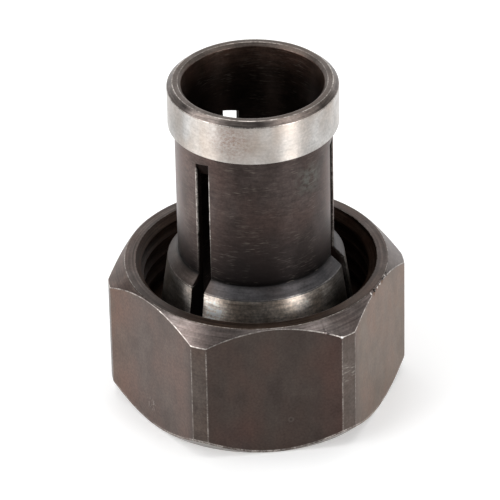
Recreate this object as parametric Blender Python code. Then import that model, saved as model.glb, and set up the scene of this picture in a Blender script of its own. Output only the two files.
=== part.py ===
"""Spring collet with its hexagon nut, standing on the nut's front face.

The nut's front face is at Z = 0 and the common axis is Z, rear end up. Three pieces are made: the nut, the
slotted collet that hangs in it, and the round-wire snap ring that ties the two together, so that the nut
pulls the collet out of its taper when it is unscrewed.
"""

import math

import bmesh
import bpy

MM = 0.001

# Collet, from the bore outwards and from the nose up
SHANK_DIAMETER = 12.7 * MM
SLEEVE_WALL = 0.69 * MM
FLARE_STEP = 0.96 * MM
FLARE_DEGREES = 45
TAPER_LENGTH = 7.4 * MM
TAPER_HALF_DEGREES = 8
COLLET_LENGTH = 31.0 * MM

# Ground pilot band at the collet's rear end
BAND_STEP = 0.585 * MM
BAND_HEIGHT = 4.15 * MM
BAND_CHAMFER_WIDTH = 0.5 * MM
BAND_CHAMFER_HEIGHT = 0.43 * MM
REAR_BORE_CHAMFER = 0.3 * MM

# Front end of the collet, inside the nut
NOSE_WALL = 0.85 * MM
NOSE_HEIGHT = 0.94 * MM
NOSE_RECESS = 0.8 * MM
NOSE_BORE_CHAMFER = 0.5 * MM
SEAT_HALF_DEGREES = 45
GROOVE_LIP = 0.9 * MM
GROOVE_SHOULDER = 0.5 * MM

# Slots that make the collet's three fingers
SLOT_COUNT = 3
SLOT_WIDTH = 1.45 * MM
SLOT_BELOW_BAND = 1.35 * MM
SAW_RADIUS = 30.0 * MM
SAW_REACH_RADIUS = 2.9 * MM
FIRST_SLOT_DEGREES = -48.2

# Nut: the spindle's nose fits between the collet's taper and the nut's thread
SPINDLE_NOSE_WALL = 1.15 * MM
THREAD_DEPTH = 0.81 * MM
NUT_WALL = 1.0 * MM
NUT_HEIGHT = 13.3 * MM
FACE_INSET = 0.1 * MM
CORNER_CUT = 0.4 * MM
END_CHAMFER_DEGREES = 45
MOUTH_INSET = 0.075 * MM
RELIEF_HEIGHT = 1.1 * MM
RELIEF_CLEARANCE = 0.05 * MM
FRONT_HOLE_CHAMFER = 0.5 * MM
RETAINING_LIP = 0.6 * MM

# Snap ring
WIRE_DIAMETER = 1.1 * MM
RING_ENGAGEMENT = 0.25 * MM
RING_GAP_DEGREES = 26
RING_COMPRESSION = 0.45 * MM

# Clearances between the pieces
NOSE_CLEARANCE = 0.2 * MM
HEAD_CLEARANCE = 0.3 * MM
SEAT_GAP = 0.15 * MM
RING_SIDE_GAP = 0.1 * MM
RING_BACK_GAP = 0.15 * MM
AXIAL_FLOAT = 0.4 * MM

# How far a cutter runs past what it cuts, and how finely round shapes are drawn
CUTTER_MARGIN = 0.5 * MM
SIDES = 96
SMOOTH_DEGREES = 20
SAW_ARC_POINTS = 12
WIRE_SIDES = 10
WIRE_STEPS = 72


def slope(degrees):
    """Radial change for each unit of axial travel on a cone of this half angle."""
    return math.tan(math.radians(degrees))


# Radii of the collet
BORE_R = SHANK_DIAMETER / 2
SLEEVE_R = BORE_R + SLEEVE_WALL
BAND_R = SLEEVE_R + BAND_STEP
NOSE_R = BORE_R + NOSE_WALL
TAPER_SMALL_R = SLEEVE_R + FLARE_STEP
HEAD_R = TAPER_SMALL_R + TAPER_LENGTH * slope(TAPER_HALF_DEGREES)

# Radii of the nut, which follow from the collet's head
HOLE_R = NOSE_R + NOSE_CLEARANCE
POCKET_R = HEAD_R + HEAD_CLEARANCE
THREAD_MINOR_R = HEAD_R + SPINDLE_NOSE_WALL
THREAD_MAJOR_R = THREAD_MINOR_R + THREAD_DEPTH
RELIEF_R = THREAD_MAJOR_R + RELIEF_CLEARANCE
MOUTH_R = THREAD_MAJOR_R - MOUTH_INSET
FLAT_R = THREAD_MAJOR_R + NUT_WALL
HEXAGON_R = FLAT_R * 2 / math.sqrt(3)
FACE_R = FLAT_R - FACE_INSET
CORNER_R = HEXAGON_R - CORNER_CUT

# Radii of the snap ring and its grooves
RING_OUTER_R = POCKET_R + RING_ENGAGEMENT
RING_INNER_R = RING_OUTER_R - WIRE_DIAMETER
COLLET_GROOVE_R = RING_INNER_R - RING_COMPRESSION
NUT_GROOVE_R = RING_OUTER_R + RING_BACK_GAP

# Heights of the collet, from its nose up
NOSE_Z = NOSE_RECESS
CONE_LOW_Z = NOSE_Z + NOSE_HEIGHT
CONE_HIGH_Z = CONE_LOW_Z + (HEAD_R - NOSE_R) / slope(SEAT_HALF_DEGREES)
COLLET_GROOVE_LOW_Z = CONE_HIGH_Z + GROOVE_LIP
COLLET_GROOVE_HIGH_Z = COLLET_GROOVE_LOW_Z + WIRE_DIAMETER + 2 * RING_SIDE_GAP
TAPER_LOW_Z = COLLET_GROOVE_HIGH_Z + GROOVE_SHOULDER
TAPER_HIGH_Z = TAPER_LOW_Z + TAPER_LENGTH
SLEEVE_LOW_Z = TAPER_HIGH_Z + (TAPER_SMALL_R - SLEEVE_R) / slope(FLARE_DEGREES)
REAR_Z = NOSE_Z + COLLET_LENGTH
BAND_LOW_Z = REAR_Z - BAND_HEIGHT
SLOT_END_Z = BAND_LOW_Z - SLOT_BELOW_BAND

# The ring lies in the middle of the collet's groove
RING_Z = (COLLET_GROOVE_LOW_Z + COLLET_GROOVE_HIGH_Z) / 2

# Heights of the nut's inside: the seat runs parallel to the collet's cone, a gap below it
SEAT_DROP = SEAT_GAP / math.sin(math.radians(SEAT_HALF_DEGREES))
NUT_GROOVE_LOW_Z = RING_Z - WIRE_DIAMETER / 2 - RING_SIDE_GAP
NUT_GROOVE_HIGH_Z = RING_Z + WIRE_DIAMETER / 2 + RING_SIDE_GAP + AXIAL_FLOAT
RELIEF_LOW_Z = NUT_GROOVE_HIGH_Z + RETAINING_LIP
RELIEF_HIGH_Z = RELIEF_LOW_Z + RELIEF_HEIGHT


def seat_z(radius):
    """Height of the nut's conical seat at this radius."""
    return CONE_LOW_Z + (radius - NOSE_R) / slope(SEAT_HALF_DEGREES) - SEAT_DROP


def clear_scene():
    for obj in list(bpy.data.objects):
        bpy.data.objects.remove(obj, do_unlink=True)


def make_material(name, color, roughness, metallic):
    material = bpy.data.materials.new(name)
    material.use_nodes = True
    shader = material.node_tree.nodes["Principled BSDF"]
    shader.inputs["Base Color"].default_value = (*color, 1)
    shader.inputs["Roughness"].default_value = roughness
    shader.inputs["Metallic"].default_value = metallic
    material.diffuse_color = (*color, 1)
    material.roughness = roughness
    material.metallic = metallic
    return material


def add_object(name, mesh, *materials):
    obj = bpy.data.objects.new(name, mesh)
    bpy.context.scene.collection.objects.link(obj)
    for material in materials:
        mesh.materials.append(material)
    return obj


def mark_helper(obj):
    """A cutter or blank: kept in the file, out of the model."""
    obj.hide_render = True
    obj.display_type = "WIRE"


def revolve(name, outline):
    """A closed ring turned about Z. outline is a loop of (radius, z, material index) that runs up the outside
    and down the bore, and the index is that of the face from this point to the next."""
    bm = bmesh.new()
    rings = []
    for radius, z, _ in outline:
        ring = []
        for step in range(SIDES):
            angle = 2 * math.pi * step / SIDES
            ring.append(bm.verts.new((radius * math.cos(angle), radius * math.sin(angle), z)))
        rings.append(ring)
    for index, lower in enumerate(rings):
        upper = rings[(index + 1) % len(rings)]
        for step in range(SIDES):
            after = (step + 1) % SIDES
            face = bm.faces.new((lower[step], lower[after], upper[after], upper[step]))
            face.material_index = outline[index][2]
    mesh = bpy.data.meshes.new(name)
    bm.to_mesh(mesh)
    bm.free()
    mesh.shade_smooth()
    mesh.set_sharp_from_angle(angle=math.radians(SMOOTH_DEGREES))
    return mesh


def extrude_outline(name, outline, low, high):
    """A prism over a loop of (x, y) points that runs anticlockwise, from low to high in Z."""
    bm = bmesh.new()
    bottom = [bm.verts.new((x, y, low)) for x, y in outline]
    top = [bm.verts.new((x, y, high)) for x, y in outline]
    bm.faces.new(list(reversed(bottom)))
    bm.faces.new(top)
    for index, vert in enumerate(bottom):
        after = (index + 1) % len(bottom)
        bm.faces.new((vert, bottom[after], top[after], top[index]))
    mesh = bpy.data.meshes.new(name)
    bm.to_mesh(mesh)
    bm.free()
    return mesh


def add_boolean(obj, other, operation):
    modifier = obj.modifiers.new(other.name, "BOOLEAN")
    modifier.operation = operation
    modifier.solver = "EXACT"
    modifier.object = other


def make_nut(oxide):
    """The turned blank with all of the nut's inside, cut to a hexagon by a prism."""
    chamfer_height = (CORNER_R - FACE_R) / slope(END_CHAMFER_DEGREES)
    blank = [
        (FACE_R, 0),
        (CORNER_R, chamfer_height),
        (CORNER_R, NUT_HEIGHT - chamfer_height),
        (FACE_R, NUT_HEIGHT),
        (MOUTH_R, NUT_HEIGHT),
        (THREAD_MINOR_R, NUT_HEIGHT - (MOUTH_R - THREAD_MINOR_R)),
        (THREAD_MINOR_R, RELIEF_HIGH_Z),
        (RELIEF_R, RELIEF_HIGH_Z),
        (RELIEF_R, RELIEF_LOW_Z),
        (POCKET_R, RELIEF_LOW_Z),
        (POCKET_R, NUT_GROOVE_HIGH_Z),
        (NUT_GROOVE_R, NUT_GROOVE_HIGH_Z),
        (NUT_GROOVE_R, NUT_GROOVE_LOW_Z),
        (POCKET_R, NUT_GROOVE_LOW_Z),
        (POCKET_R, seat_z(POCKET_R)),
        (HOLE_R, seat_z(HOLE_R)),
        (HOLE_R, FRONT_HOLE_CHAMFER),
        (HOLE_R + FRONT_HOLE_CHAMFER, 0),
    ]
    nut = add_object("nut", revolve("nut", [(r, z, 0) for r, z in blank]), oxide)

    # Corners lie on the X axis, so two flats face +Y and -Y
    corners = []
    for k in range(6):
        angle = k * math.pi / 3
        corners.append((HEXAGON_R * math.cos(angle), HEXAGON_R * math.sin(angle)))
    mesh = extrude_outline("nut_hexagon", corners, -CUTTER_MARGIN, NUT_HEIGHT + CUTTER_MARGIN)
    prism = add_object("nut_hexagon", mesh)
    mark_helper(prism)
    add_boolean(nut, prism, "INTERSECT")
    return nut


def slot_outline():
    """The slotting saw's cut seen from the side, as (radius, z): open at the nose, ending in the saw's arc."""
    outer_r = HEAD_R + CUTTER_MARGIN
    low = NOSE_Z - CUTTER_MARGIN

    def rise(radius):
        depth = radius - SAW_REACH_RADIUS
        return math.sqrt(depth * (2 * SAW_RADIUS - depth))

    saw_z = SLOT_END_Z - rise(SLEEVE_R)
    points = [(SAW_REACH_RADIUS, low), (outer_r, low)]
    for step in range(SAW_ARC_POINTS + 1):
        radius = SAW_REACH_RADIUS + (outer_r - SAW_REACH_RADIUS) * (1 - step / SAW_ARC_POINTS)
        points.append((radius, saw_z + rise(radius)))
    return points


def make_slot_cutter(index):
    """One blade of SLOT_WIDTH, standing in the slot's radial plane."""
    mesh = extrude_outline("slot_cutter", slot_outline(), -SLOT_WIDTH / 2, SLOT_WIDTH / 2)
    cutter = add_object(f"slot_cutter_{index + 1}", mesh)
    turn = math.radians(FIRST_SLOT_DEGREES + index * 360 / SLOT_COUNT - 90)
    # The outline's (radius, z) plane is stood upright, then turned to the slot's bearing
    cutter.rotation_euler = (math.radians(90), 0, turn)
    mark_helper(cutter)
    return cutter


def make_collet(oxide, ground):
    """One turned profile with its bore, then the slots."""
    black, bright = 0, 1
    outline = [
        (BORE_R + NOSE_BORE_CHAMFER, NOSE_Z, black),
        (NOSE_R, NOSE_Z, black),
        (NOSE_R, CONE_LOW_Z, bright),
        (HEAD_R, CONE_HIGH_Z, black),
        (HEAD_R, COLLET_GROOVE_LOW_Z, black),
        (COLLET_GROOVE_R, COLLET_GROOVE_LOW_Z, black),
        (COLLET_GROOVE_R, COLLET_GROOVE_HIGH_Z, black),
        (HEAD_R, COLLET_GROOVE_HIGH_Z, black),
        (HEAD_R, TAPER_LOW_Z, bright),
        (TAPER_SMALL_R, TAPER_HIGH_Z, black),
        (SLEEVE_R, SLEEVE_LOW_Z, black),
        (SLEEVE_R, BAND_LOW_Z, black),
        (BAND_R, BAND_LOW_Z, bright),
        (BAND_R, REAR_Z - BAND_CHAMFER_HEIGHT, black),
        (BAND_R - BAND_CHAMFER_WIDTH, REAR_Z, black),
        (BORE_R + REAR_BORE_CHAMFER, REAR_Z, black),
        (BORE_R, REAR_Z - REAR_BORE_CHAMFER, black),
        (BORE_R, NOSE_Z + NOSE_BORE_CHAMFER, black),
    ]
    collet = add_object("collet", revolve("collet", outline), oxide, ground)
    for index in range(SLOT_COUNT):
        add_boolean(collet, make_slot_cutter(index), "DIFFERENCE")
    return collet


def make_snap_ring(wire):
    """A C of round wire on a circle, its gap towards +X."""
    curve = bpy.data.curves.new("snap_ring", "CURVE")
    curve.dimensions = "3D"
    curve.bevel_depth = WIRE_DIAMETER / 2
    curve.bevel_resolution = (WIRE_SIDES - 4) // 2
    curve.use_fill_caps = True
    spline = curve.splines.new("POLY")
    spline.points.add(WIRE_STEPS)
    middle_r = RING_OUTER_R - WIRE_DIAMETER / 2
    half_gap = RING_GAP_DEGREES / 2
    for step, point in enumerate(spline.points):
        angle = math.radians(half_gap + (360 - 2 * half_gap) * step / WIRE_STEPS)
        point.co = (middle_r * math.cos(angle), middle_r * math.sin(angle), 0, 1)
    ring = bpy.data.objects.new("snap_ring", curve)
    bpy.context.scene.collection.objects.link(ring)
    curve.materials.append(wire)
    ring.location = (0, 0, RING_Z)
    return ring


def main():
    clear_scene()
    oxide = make_material("black_oxide_steel", (0.075, 0.066, 0.06), 0.42, 0.9)
    ground = make_material("ground_steel", (0.42, 0.40, 0.38), 0.3, 1.0)
    wire = make_material("spring_wire", (0.2, 0.19, 0.18), 0.35, 1.0)
    make_nut(oxide)
    make_snap_ring(wire)
    make_collet(oxide, ground)


main()
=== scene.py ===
"""Looks for the collet with its hexagon nut: fine meshes, steel finishes, soft light and the camera.

Lengths are in millimetres and angles in degrees, and MM turns a length into metres. A bearing is the angle
about the axis: 0 points to -Y, where the camera stands, and it grows towards +X.
"""

import math

import bmesh
import bpy
import numpy as np
from mathutils import Matrix, Vector, noise


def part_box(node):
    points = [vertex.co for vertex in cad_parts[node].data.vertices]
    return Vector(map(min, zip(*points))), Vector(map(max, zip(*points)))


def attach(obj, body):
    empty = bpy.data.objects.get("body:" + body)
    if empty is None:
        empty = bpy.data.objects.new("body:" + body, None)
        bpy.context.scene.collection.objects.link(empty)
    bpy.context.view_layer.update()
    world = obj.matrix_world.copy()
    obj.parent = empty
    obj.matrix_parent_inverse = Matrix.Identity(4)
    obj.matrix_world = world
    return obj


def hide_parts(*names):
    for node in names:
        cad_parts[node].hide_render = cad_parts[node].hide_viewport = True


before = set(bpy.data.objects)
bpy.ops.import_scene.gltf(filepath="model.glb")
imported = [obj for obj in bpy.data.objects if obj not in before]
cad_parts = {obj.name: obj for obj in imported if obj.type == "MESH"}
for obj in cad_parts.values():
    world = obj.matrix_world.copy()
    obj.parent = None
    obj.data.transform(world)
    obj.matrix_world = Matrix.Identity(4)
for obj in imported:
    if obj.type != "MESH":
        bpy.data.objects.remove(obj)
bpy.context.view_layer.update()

MM = 0.001

# Camera
CAMERA_BEARING = -6.7
CAMERA_ELEVATION = 32.595
CAMERA_DISTANCE = 415.4
CAMERA_ROLL = 1.233
AIM_SIDEWAYS = -0.549
AIM_HEIGHT = 13.98
FOCAL_PIXELS = 4606.1
FRAME_PIXELS = 500
SENSOR_WIDTH = 36

# Outer sizes, read from the frame
NUT_BOX = [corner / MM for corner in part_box("nut")]
COLLET_BOX = [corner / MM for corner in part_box("collet")]
RING_BOX = [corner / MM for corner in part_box("snap_ring")]
CORNER_R = NUT_BOX[1].x
FLAT_R = NUT_BOX[1].y
NUT_HEIGHT = NUT_BOX[1].z
HEAD_R = COLLET_BOX[1].x
NOSE_Z = COLLET_BOX[0].z
REAR_Z = COLLET_BOX[1].z

# Nut: its faces, mouth, thread and inside
FACE_R = FLAT_R - 0.1
THREAD_MAJOR_R = FLAT_R - 1.0
THREAD_MINOR_R = THREAD_MAJOR_R - 0.81
MOUTH_R = THREAD_MAJOR_R - 0.075
RELIEF_R = THREAD_MAJOR_R + 0.05
POCKET_R = HEAD_R + 0.3
NUT_GROOVE_R = RING_BOX[1].y + 0.15
HOLE_R = 7.4
HOLE_CHAMFER = 0.5
SEAT_LOW_Z = 1.728
SEAT_HIGH_Z = SEAT_LOW_Z + POCKET_R - HOLE_R
NUT_GROOVE_LOW_Z = RING_BOX[0].z - 0.1
NUT_GROOVE_HIGH_Z = RING_BOX[1].z + 0.5
RELIEF_LOW_Z = NUT_GROOVE_HIGH_Z + 0.6
RELIEF_HIGH_Z = RELIEF_LOW_Z + 1.1
PITCH = 1.5
ROWS_PER_PITCH = 16
THREAD_ROOT_WIDTH = PITCH / 8
THREAD_CREST_WIDTH = PITCH / 4
THREAD_TOP_GAP = 0.06
THREAD_FADE_GAP = 0.02
THREAD_FADE_SLOPE = 0.1

# Collet: bore, nose, ring groove, taper, sleeve and band
BORE_R = 6.35
NOSE_R = BORE_R + 0.85
NOSE_BORE_CHAMFER = 0.5
CONE_LOW_Z = NOSE_Z + 0.94
CONE_HIGH_Z = CONE_LOW_Z + HEAD_R - NOSE_R
COLLET_GROOVE_R = 8.04
COLLET_GROOVE_LOW_Z = CONE_HIGH_Z + 0.9
COLLET_GROOVE_HIGH_Z = COLLET_GROOVE_LOW_Z + 1.3
SLEEVE_R = BORE_R + 0.69
TAPER_SMALL_R = SLEEVE_R + 0.96
TAPER_LOW_Z = COLLET_GROOVE_HIGH_Z + 0.5
TAPER_HIGH_Z = TAPER_LOW_Z + 7.4
SLEEVE_LOW_Z = TAPER_HIGH_Z + TAPER_SMALL_R - SLEEVE_R
BAND_R = SLEEVE_R + 0.585
BAND_LOW_Z = REAR_Z - 4.15
BAND_CHAMFER_WIDTH = 0.5
BAND_CHAMFER_HEIGHT = 0.43
REAR_BORE_CHAMFER = 0.3

# Saw cuts between the collet's fingers
SLOT_COUNT = 3
SLOT_HALF_WIDTH = 0.725
FIRST_SLOT_DEGREES = -48.2
SLOT_END_Z = BAND_LOW_Z - 1.35
SLOT_END_DROP = 1.24
SLOT_END_MARGIN = 0.3
SLOT_END_TILT = 0.21
TILT_FADE = 0.12
TILT_REACH = 0.35
SLOT_EDGE = 0.06

# Worn edges and how finely the meshes are drawn
EDGE_REACH = 0.075
LOWER_REACH = 0.15
RUBBED_REACH = 0.09
MOST_RUBBED = -37
RUBBED_FOCUS = 24
FLAT_COLUMNS = 38
STRIP_COLUMNS = 4
EDGE_BLEND = 0.045
EDGE_SPREAD = 0.095
EDGE_MARGIN = 3
SIDE_ROWS = (0.25, 0.5, 1.0, 2.0, 3.5)
RIM_ROWS = (0.18, 0.34, 0.5)
LOWER_LINE = 0.12
EDGE_COLUMNS = (-2.0, -1.2, -0.8, -0.4, 0.0, 0.4, 0.8, 1.2, 2.0)
FINGER_COLUMNS = 72
SLOT_COLUMNS = 6
SLOT_EDGE_COLUMNS = (0.15, 0.45, 1.0, 1.6, 2.4)
SLEEVE_ROWS = (9.0, 7.0, 5.0, 3.0, 1.8, 1.1, 0.7, 0.3)
SHARP_DEGREES = 30
SIDE_WEAR = 0.4
SIDE_WEAR_WIDTH = 0.34
SIDE_WEAR_START = 0.2
SIDE_WEAR_FADE = 0.4
WEAR_DEPTH = 0.012
COARSE_WEAR = 1.3
FINE_WEAR = 4.1
SLOT_EDGE_WEAR = 1.1
OTHER_SLOT_WEAR = SLOT_EDGE_WEAR / 4
LOW_EDGE_WEAR = 0.3
LEFT_EDGE_WEAR = 1.0
RIGHT_EDGE_WEAR = 2.2
FRONT_EDGE_WIDTH = 0.12
FRONT_WEAR_LOW_Z = 16.5
FRONT_WEAR_RISE = 4
FRONT_WEAR_LEAST = 0.03
SLOT_WEAR_START = 0.3
RIGHT_WEAR_START = 0.9
SLOT_WEAR_FADE = 0.8
BORE_ROW_STEP = 0.02
WALL_STEPS = 3
ARC_STEPS = (0.0, 0.25, 0.5, 0.75, 1.0)
SUPPORT = 1.5
REACH_LIMIT = 0.3
MERGE_DISTANCE = 1e-4
LEAST_LENGTH = 1e-5

# Where the finishes change: the zones of the nut and of the collet, and where a flat ends
RIM, MILLED, INSIDE, CHAMFER, STRIP = range(5)
GROUND, EDGE, LAND, BORE, SLEEVE, FLARE, TAPER, HIDDEN = range(8)
STRIP_START = math.degrees(math.acos(FLAT_R / CORNER_R))

# Snap ring
RING_GAP_DEGREES = 26
RING_STEPS = 120
RING_END_SIZES = (0.55, 0.9)
WIRE_SIDES = 16

# Floor and world
FLOOR_SIZE = 6000
FLOOR_COLOR = (0.9, 0.9, 0.9)
FLOOR_ROUGHNESS = 0.9
FLOOR_Z = -0.02
FLOOR_LIFT = 0.26
WORLD_LIGHT = 0.15

# Lamps: name, bearing from the camera's own, elevation, distance, width, height and watts
LAMPS = (
    ("lamp_backdrop", 180, 14, 700, 1500, 620, 3.60),
    ("lamp_left_front", -58, 12, 450, 180, 220, 0.68),
    ("lamp_left", -82, 12, 450, 180, 220, 0.52),
    ("lamp_right", 46, 12, 450, 140, 220, 0.94),
    ("lamp_far_right", 100, 14, 500, 420, 300, 0.35),
    ("lamp_high_left", -76, 50, 450, 320, 220, 0.52),
    ("lamp_high_right", 70, 56, 450, 320, 220, 0.15),
    ("lamp_above", 180, 80, 500, 400, 400, 1.20),
)

# Where the nut's upper edges are chipped: bearing, height, size and depth
NICKS = (
    (52.5, 13.22, 0.42, 0.16),
    (55.4, 13.24, 0.20, 0.09),
    (58.3, 13.26, 0.16, 0.07),
    (61.9, 13.24, 0.30, 0.12),
    (67.5, 13.20, 0.18, 0.07),
    (21.5, 12.33, 0.24, 0.09),
)
NICK_SHAPE = 0.7

# The pits and light crumbs on the chipped edge: bearing, height and size
PITS = (
    (54.3, 13.16, 0.22),
    (63.6, 13.24, 0.18),
    (68.5, 13.25, 0.12),
)
CRUMBS = (
    (51.2, 13.15, 0.17),
    (56.8, 13.12, 0.10),
    (59.8, 13.14, 0.10),
    (61.6, 13.28, 0.11),
    (66.3, 13.25, 0.10),
)

# Places of single marks: bearing, radius and height
RUBBED_CORNER = (26.9, CORNER_R, NUT_HEIGHT - CORNER_R + FACE_R)
RED_PLACE = (-16.5, FLAT_R, 2.2)
SPOT_PLACE = (6.7, FLAT_R, 3.45)
SPECKS_PLACE = (-60.5, FLAT_R, 2.3)
STRIP_MARKS_PLACE = (29.4, CORNER_R, 7.8)
# Where the nut's rear chamfer has a painted highlight and where it has painted shade
CHAMFER_HIGHLIGHT_PLACE = (-38, CORNER_R - 0.6, NUT_HEIGHT - 0.6)
CHAMFER_SHADE_PLACE = (-22, CORNER_R - 0.8, NUT_HEIGHT - 0.6)
RUST_PLACE = (-21, BAND_R, 29.9)
BROWN_PLACE = (-14, BAND_R, 29.4)
GREEN_PLACE = (37, SLEEVE_R, 24.6)

# Softly lighter and darker patches: bearing, radius, height, size and gain. Those on the collet's outer
# chamfer are painted highlights, those on the band painted light and shade, and those on the sleeve painted
# shade.
RIM_PATCHES = (
    (-48, FACE_R, NUT_HEIGHT, 7.5, 0.42),
    (30, FACE_R, NUT_HEIGHT, 7.0, 0.7),
)
# Painted highlights on the collet's outer chamfer
EDGE_HIGHLIGHTS = (
    (-41, BAND_R, REAR_Z, 3.1, 3.0),
    (24, BAND_R, REAR_Z, 3.1, 6.0),
)
# Painted light and shade on the band
BAND_LIGHT_AND_SHADE = (
    (-59, BAND_R, 29.5, 3.6, 0.75),
    (3, BAND_R, 29.5, 3.4, 1.15),
    (17, BAND_R, 29.5, 2.0, 0.80),
    (28, BAND_R, 29.5, 2.2, 1.12),
    (42, BAND_R, 29.5, 2.6, 0.9),
    (68, BAND_R, 29.5, 3.0, 1.15),
)
# Painted shade on the sleeve
SLEEVE_SHADE_PATCHES = (
    (-6, SLEEVE_R, 18.0, 5.0, 0.6),
    (-28, SLEEVE_R, 19.0, 3.0, 0.85),
)

# Painted highlights on the taper: bearing, height, size and gain
TAPER_HIGHLIGHTS = (
    (-36, TAPER_HIGH_Z - 1.4, 2.2, 1.6),
    (-55, TAPER_HIGH_Z - 0.8, 1.5, 1.7),
    (17, TAPER_HIGH_Z - 2.4, 2.7, 1.25),
)

# Bare, scratched and chipped steel, and how the noises are read
WORN_STEEL = (0.68, 0.63, 0.58)
WORN_ROUGHNESS = 0.32
SCRATCHED_OXIDE = (0.28, 0.245, 0.21)
PIT_COLOR = (0.008, 0.006, 0.005)
CRUMB_COLOR = (0.70, 0.66, 0.62)
RUBBED_COLOR = (0.66, 0.63, 0.60)
NOISE_RANGE = (0.3, 0.7)
ROUGHNESS_SPREAD = 0.05
GRAIN_TURN = 0.25
MOUTH_SPECULAR = 0.09


# Places and directions

def around(radius, angle, z):
    """The point at this radius and height, and at this angle from +X in radians."""
    return radius * math.cos(angle), radius * math.sin(angle), z


def pointing(bearing, elevation):
    """The unit vector that points this way from the axis."""
    b, e = math.radians(bearing), math.radians(elevation)
    return Vector((math.sin(b) * math.cos(e), -math.cos(b) * math.cos(e), math.sin(e)))


# Camera and lamps

def add_camera():
    """The camera looks down at the part, rolled a little as in the photo."""
    camera = bpy.data.objects.new("camera", bpy.data.cameras.new("camera"))
    bpy.context.scene.collection.objects.link(camera)
    camera.data.sensor_width = SENSOR_WIDTH
    camera.data.lens = FOCAL_PIXELS * SENSOR_WIDTH / FRAME_PIXELS
    side = pointing(CAMERA_BEARING + 90, 0)
    back = pointing(CAMERA_BEARING, CAMERA_ELEVATION)
    above = back.cross(side)
    roll = math.radians(CAMERA_ROLL)
    right = side * math.cos(roll) - above * math.sin(roll)
    up = above * math.cos(roll) + side * math.sin(roll)
    aim = side * AIM_SIDEWAYS + Vector((0, 0, AIM_HEIGHT))
    turned = Matrix((right, up, back)).transposed().to_4x4()
    camera.matrix_world = Matrix.Translation((aim + back * CAMERA_DISTANCE) * MM) @ turned
    bpy.context.scene.camera = camera


def add_soft_box(name, bearing, elevation, distance, width, height, power):
    """A rectangular lamp that faces the middle of the part from this bearing, seen from the camera's own."""
    lamp = bpy.data.lights.new(name, "AREA")
    lamp.shape = "RECTANGLE"
    lamp.size = width * MM
    lamp.size_y = height * MM
    lamp.energy = power
    box = bpy.data.objects.new(name, lamp)
    bpy.context.scene.collection.objects.link(box)
    out = pointing(CAMERA_BEARING + bearing, elevation)
    box.location = (Vector((0, 0, AIM_HEIGHT)) + out * distance) * MM
    box.rotation_euler = out.to_track_quat("Z", "Y").to_euler()


# Node helpers

def add_node(tree, kind, inputs=None, **settings):
    """Adds a node. inputs maps a socket's name or number to a value or to another node's output."""
    node = tree.nodes.new("ShaderNode" + kind)
    for name, value in settings.items():
        setattr(node, name, value)
    for socket, value in (inputs or {}).items():
        if isinstance(value, bpy.types.NodeSocket):
            tree.links.new(value, node.inputs[socket])
        else:
            node.inputs[socket].default_value = value
    return node


def calc(tree, operation, *values):
    """A Math node's output."""
    return add_node(tree, "Math", dict(enumerate(values)), operation=operation).outputs[0]


def times(tree, first, second):
    """The product of two values."""
    return calc(tree, "MULTIPLY", first, second)


def remap(tree, value, low, high, to_low=0.0, to_high=1.0):
    """The value taken from one range to another, and held there."""
    return add_node(tree, "MapRange", {0: value, 1: low, 2: high, 3: to_low, 4: to_high}).outputs[0]


def mix(tree, factor, first, second):
    """A colour between two others. Each is a socket or three numbers."""
    colors = [c if isinstance(c, bpy.types.NodeSocket) else (*c, 1) for c in (first, second)]
    node = add_node(tree, "Mix", {0: factor, 6: colors[0], 7: colors[1]}, data_type="RGBA")
    return node.outputs[2]


def position(tree):
    """The place on the part, in millimetres."""
    place = add_node(tree, "TexCoord").outputs["Object"]
    return add_node(tree, "VectorMath", {0: place, "Scale": 1 / MM}, operation="SCALE").outputs[0]


def xyz(tree):
    """The place on the part as its x, y and z."""
    return add_node(tree, "SeparateXYZ", {0: position(tree)}).outputs


def stretched(tree, scale):
    """The place with each axis multiplied by its own number."""
    return add_node(tree, "VectorMath", {0: position(tree), 1: scale}, operation="MULTIPLY").outputs[0]


def speckle(tree, vector, scale, detail=2.0, rough=0.5):
    """A noise from 0 to 1."""
    inputs = {"Vector": vector, "Scale": scale, "Detail": detail, "Roughness": rough}
    return add_node(tree, "TexNoise", inputs).outputs[0]


def turned_noise(tree, across, along, detail=2.0, rough=0.5):
    """A noise drawn out round the axis, as a lathe leaves it: across is its scale per millimetre over the
    section, and along its scale round the axis. It runs on a circle in four dimensions, so it has no seam."""
    x, y, z = xyz(tree)
    radius = calc(tree, "SQRT", calc(tree, "ADD", times(tree, x, x), times(tree, y, y)))
    section = times(tree, radius, across)
    height = times(tree, z, across)
    cosine = times(tree, calc(tree, "DIVIDE", x, radius), along)
    sine = times(tree, calc(tree, "DIVIDE", y, radius), along)
    vector = add_node(tree, "CombineXYZ", {0: section, 1: height, 2: cosine}).outputs[0]
    inputs = {"Vector": vector, "W": sine, "Scale": 1.0, "Detail": detail, "Roughness": rough}
    return add_node(tree, "TexNoise", inputs, noise_dimensions="4D").outputs[0]


def new_material(name):
    """A material with only a Principled shader and its output, and that shader."""
    material = bpy.data.materials.new(name)
    material.use_nodes = True
    return material, material.node_tree, material.node_tree.nodes["Principled BSDF"]


# Steel finishes

def worn_share(tree):
    """How much bare steel shows: along the edges that the meshes mark as worn, uneven along them."""
    edge = add_node(tree, "Attribute", attribute_name="wear").outputs["Fac"]
    uneven = remap(tree, speckle(tree, position(tree), 0.9, 4.0, 0.65), 0.36, 0.58, 0.15, 1.0)
    dotted = remap(tree, speckle(tree, position(tree), 5.0, 2.0), 0.40, 0.56, 0.35, 1.0)
    return times(tree, edge, times(tree, uneven, dotted))


def beside(tree, bearing, radius, z, size, soft=0.5):
    """1 near a place on the part and 0 further from it than size, in millimetres, with a soft border."""
    centre = around(radius, math.radians(bearing - 90), z)
    away = add_node(tree, "VectorMath", {0: position(tree), 1: centre}, operation="DISTANCE").outputs["Value"]
    return remap(tree, away, size * (1 - soft), size, 1.0, 0.0)


def scaled(tree, color, factor):
    """A colour made lighter or darker."""
    return add_node(tree, "VectorMath", {0: color, "Scale": factor}, operation="SCALE").outputs[0]


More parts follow.
